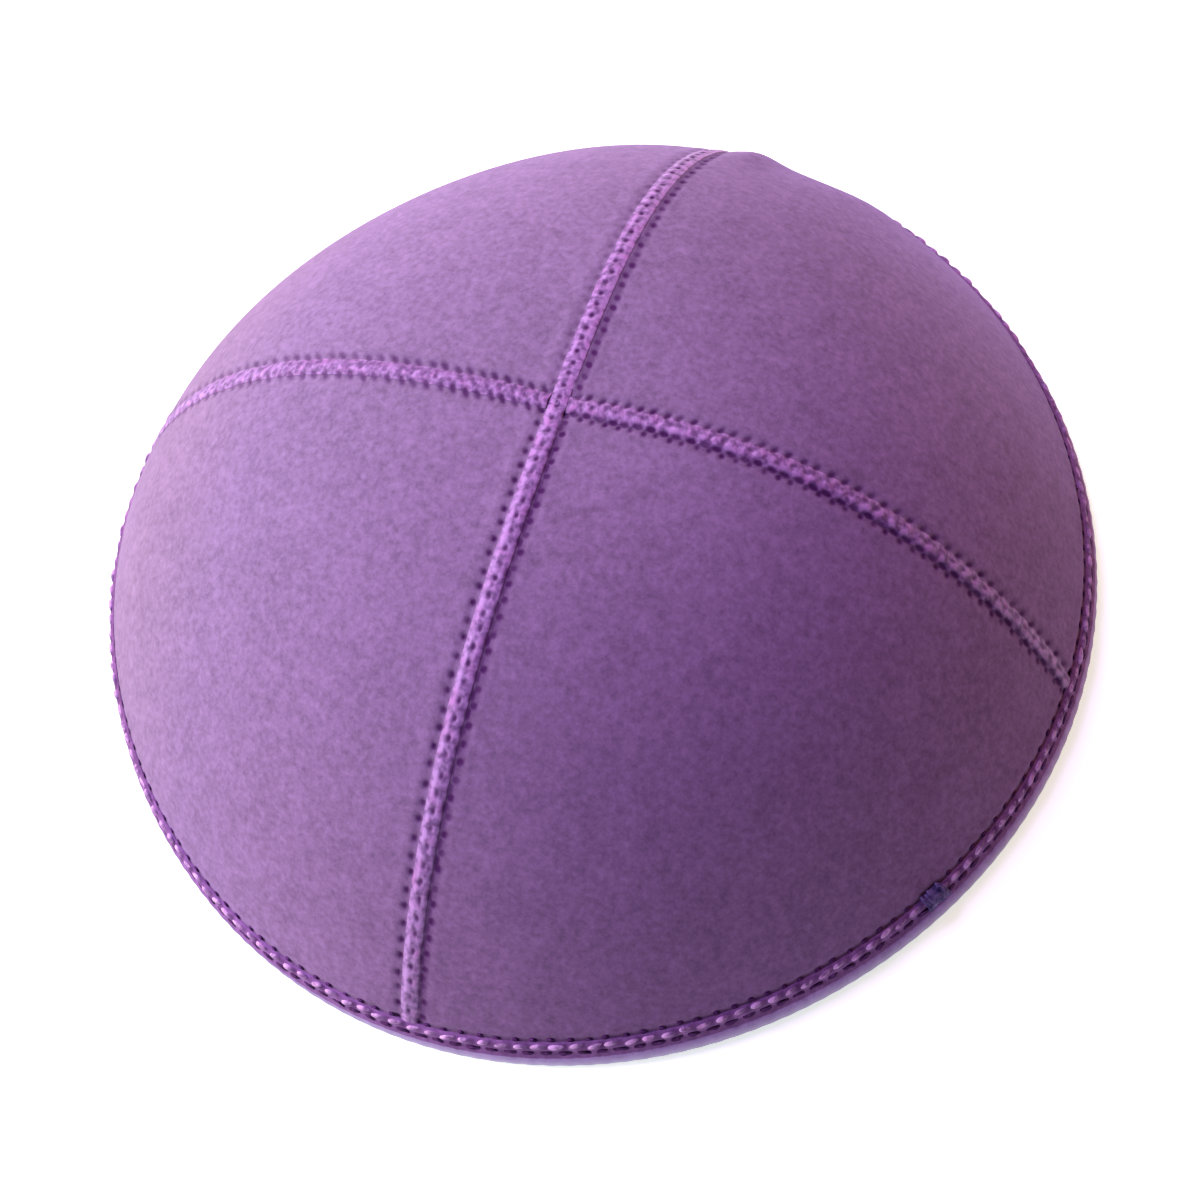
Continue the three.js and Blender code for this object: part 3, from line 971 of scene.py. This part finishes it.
def makeBindingStitches():
    shape = binding["pillow"]
    pitch = 2 * math.pi * crown["rimRadius"] / binding["stitches"]

    # each stitch is palest at the end under its needle hole
    def tones(x, y, z):
        number = np.round(x / pitch)
        own = binding["uneven"]["pale"] * unevenAt(number, 2, 7)
        return {"highlightAndPaleTone": own - binding["paleTip"] * toNearest(x, pitch)}

    bm = bmesh.new()
    pillow = bmesh.ops.create_uvsphere(bm, u_segments=12, v_segments=8, radius=1)["verts"]
    bmesh.ops.rotate(bm, verts=pillow, cent=(0, 0, 0), matrix=Matrix.Rotation(math.pi / 2, 3, "Y"))
    for vert in pillow:
        vert.co.yz *= 1 - shape["taper"] * vert.co.x
    bmesh.ops.scale(bm, vec=(shape["halfLength"], shape["halfHeight"], shape["thickness"]), verts=pillow)
    bmesh.ops.rotate(bm, verts=pillow, cent=(0, 0, 0),
                     matrix=Matrix.Rotation(math.radians(shape["slant"]), 3, "Z"))
    bmesh.ops.translate(bm, vec=(0, shape["up"], shape["out"]), verts=pillow)
    layRound(bm, "binding_stitches", rimThread, "seam_thread", tones)
    bm = bmesh.new()
    # The binding's needle holes: dark discs of painted shade
    for hole in (binding["upperHole"], binding["lowerHole"]):
        addHole(bm, (hole["along"], hole["up"], hole["out"]), hole["alongRadius"], hole["upRadius"])
    layRound(bm, "binding_holes", holeDark, "binding")
    bm = bmesh.new()
    addStrand(bm, binding["innerDash"], binding["innerDashRadius"])
    layRound(bm, "binding_inner_dashes", thread, "seam_thread")


# Dark thread that holds the binding's ends together, wound over the join. Heights are from the row.
join = {
    "azimuth": 331,
    "turns": 12,
    "turnPitch": 0.32,
    "radius": 0.36,
    "top": 0.3,
    "foot": -3.0,
    "high": 1.02,
    "lean": 0.3,
    "uneven": {"along": 0.1, "lean": 0.3, "top": 0.4, "foot": 0.5, "high": 0.18},
}


def makeBindingJoin():
    bm = bmesh.new()
    middle = math.radians(join["azimuth"]) * crown["rimRadius"]
    own = join["uneven"]
    for index in range(join["turns"]):
        fromMiddle = (index - (join["turns"] - 1) / 2) * join["turnPitch"]
        along = middle + fromMiddle + own["along"] * unevenAt(index, 0)
        lean = join["lean"] + own["lean"] * unevenAt(index, 1)
        top = join["top"] + own["top"] * unevenAt(index, 2)
        foot = join["foot"] + own["foot"] * unevenAt(index, 3)
        high = join["high"] + own["high"] * unevenAt(index, 2, 40)
        points = [(-lean, top, 0.1), (-lean * 0.8, top - 0.5, high - 0.2), (0, -1.3, high),
                  (lean * 0.8, foot + 0.6, high - 0.25), (lean, foot, 0.25)]
        addStrand(bm, [(along + x, y, out) for x, y, out in points], join["radius"])

    def place(x, y, z):
        azimuth = x / crown["rimRadius"]
        return rimPoint(azimuth, rimRow(azimuth) + y, z)

    finishPiece(layDown(bm, "binding_join", place), joinThread, "seam_thread")


makeBindingRoll()
makeBindingStitches()
makeBindingJoin()
print("binding made")

# Floor, lights and camera
studio = {
    "floorSize": 6.0,
    "floorColour": (0.88, 0.95, 0.88, 1),
    "glowColour": (0.94, 1.0, 0.94, 1),
    "floorGlow": 0.56,
}


def makeFloor():
    bm = bmesh.new()
    bmesh.ops.create_grid(bm, x_segments=1, y_segments=1, size=studio["floorSize"] / 2)
    mesh = bpy.data.meshes.new("floor")
    bm.to_mesh(mesh)
    bm.free()
    floor = bpy.data.objects.new("floor", mesh)
    bpy.context.scene.collection.objects.link(floor)
    finish = Finish("paleFloor")
    finish.surface(**{
        "Base Color": studio["floorColour"],
        "Roughness": 0.9,
        "Specular IOR Level": 0.0,
        "Emission Color": studio["glowColour"],
        "Emission Strength": studio["floorGlow"],
    })
    mesh.materials.append(finish.material)


# Each light hangs in a direction given by azimuth (from +X, towards +Y) and elevation
lights = {
    "keyLeft": {"azimuth": 190, "elevation": 22, "power": 21.1, "colour": (1, 1, 0.75)},
    "backLeft": {"azimuth": 120, "elevation": 22, "power": 5.9, "colour": (1, 1, 0.75)},
    "coolAbove": {"azimuth": 165, "elevation": 60, "power": 21.4, "colour": (0.64, 0.476, 1)},
    "frontFill": {"azimuth": 240, "elevation": 25, "power": 3.3, "colour": (1, 0.88, 1)},
    "warmRight": {"azimuth": 60, "elevation": 30, "power": 5.8, "colour": (1, 0.426, 0.162)},
}
lightDistance = 1.2     # metres
lightSize = 0.8


def makeLight(name, setup):
    azimuth, elevation = math.radians(setup["azimuth"]), math.radians(setup["elevation"])
    way = Vector((math.cos(azimuth) * math.cos(elevation), math.sin(azimuth) * math.cos(elevation),
                  math.sin(elevation)))
    data = bpy.data.lights.new(name, "AREA")
    data.shape = "DISK"
    data.size = lightSize
    data.energy = setup["power"]
    data.color = setup["colour"]
    light = bpy.data.objects.new(name, data)
    aimed = way.to_track_quat("Z", "Y").to_matrix().to_4x4()
    light.matrix_world = Matrix.Translation(way * lightDistance) @ aimed
    bpy.context.scene.collection.objects.link(light)


def makeWorld():
    world = bpy.data.worlds.new("darkRoom")
    world.use_nodes = True
    world.node_tree.nodes["Background"].inputs["Strength"].default_value = 0.0
    bpy.context.scene.world = world


view = {
    "azimuth": 35.7,
    "elevation": 62.1,
    "roll": -17.7,
    "distance": 0.410,
    "aimRight": 0.0001,
    "aimUp": -0.00415,
    "lens": 74.22,
    "sensor": 36.0,
}


def makeCamera():
    azimuth, elevation = math.radians(view["azimuth"]), math.radians(view["elevation"])
    back = Vector((math.sin(azimuth) * math.cos(elevation), -math.cos(azimuth) * math.cos(elevation),
                   math.sin(elevation)))
    right = Vector((math.cos(azimuth), math.sin(azimuth), 0))
    place = back * view["distance"]
    aim = right * view["aimRight"] + back.cross(right) * view["aimUp"]
    looking = (aim - place).normalized()
    turned = looking.to_track_quat("-Z", "Y").to_matrix().to_4x4()
    data = bpy.data.cameras.new("photoCamera")
    data.lens = view["lens"]
    data.sensor_width = view["sensor"]
    data.clip_start = 0.01
    data.clip_end = 20
    camera = bpy.data.objects.new("photoCamera", data)
    rolled = turned @ Matrix.Rotation(math.radians(view["roll"]), 4, "Z")
    camera.matrix_world = Matrix.Translation(place) @ rolled
    bpy.context.scene.collection.objects.link(camera)
    bpy.context.scene.camera = camera


makeFloor()
for name, setup in lights.items():
    makeLight(name, setup)
makeWorld()
makeCamera()
bpy.context.scene.view_settings.view_transform = "Standard"
print("studio made")
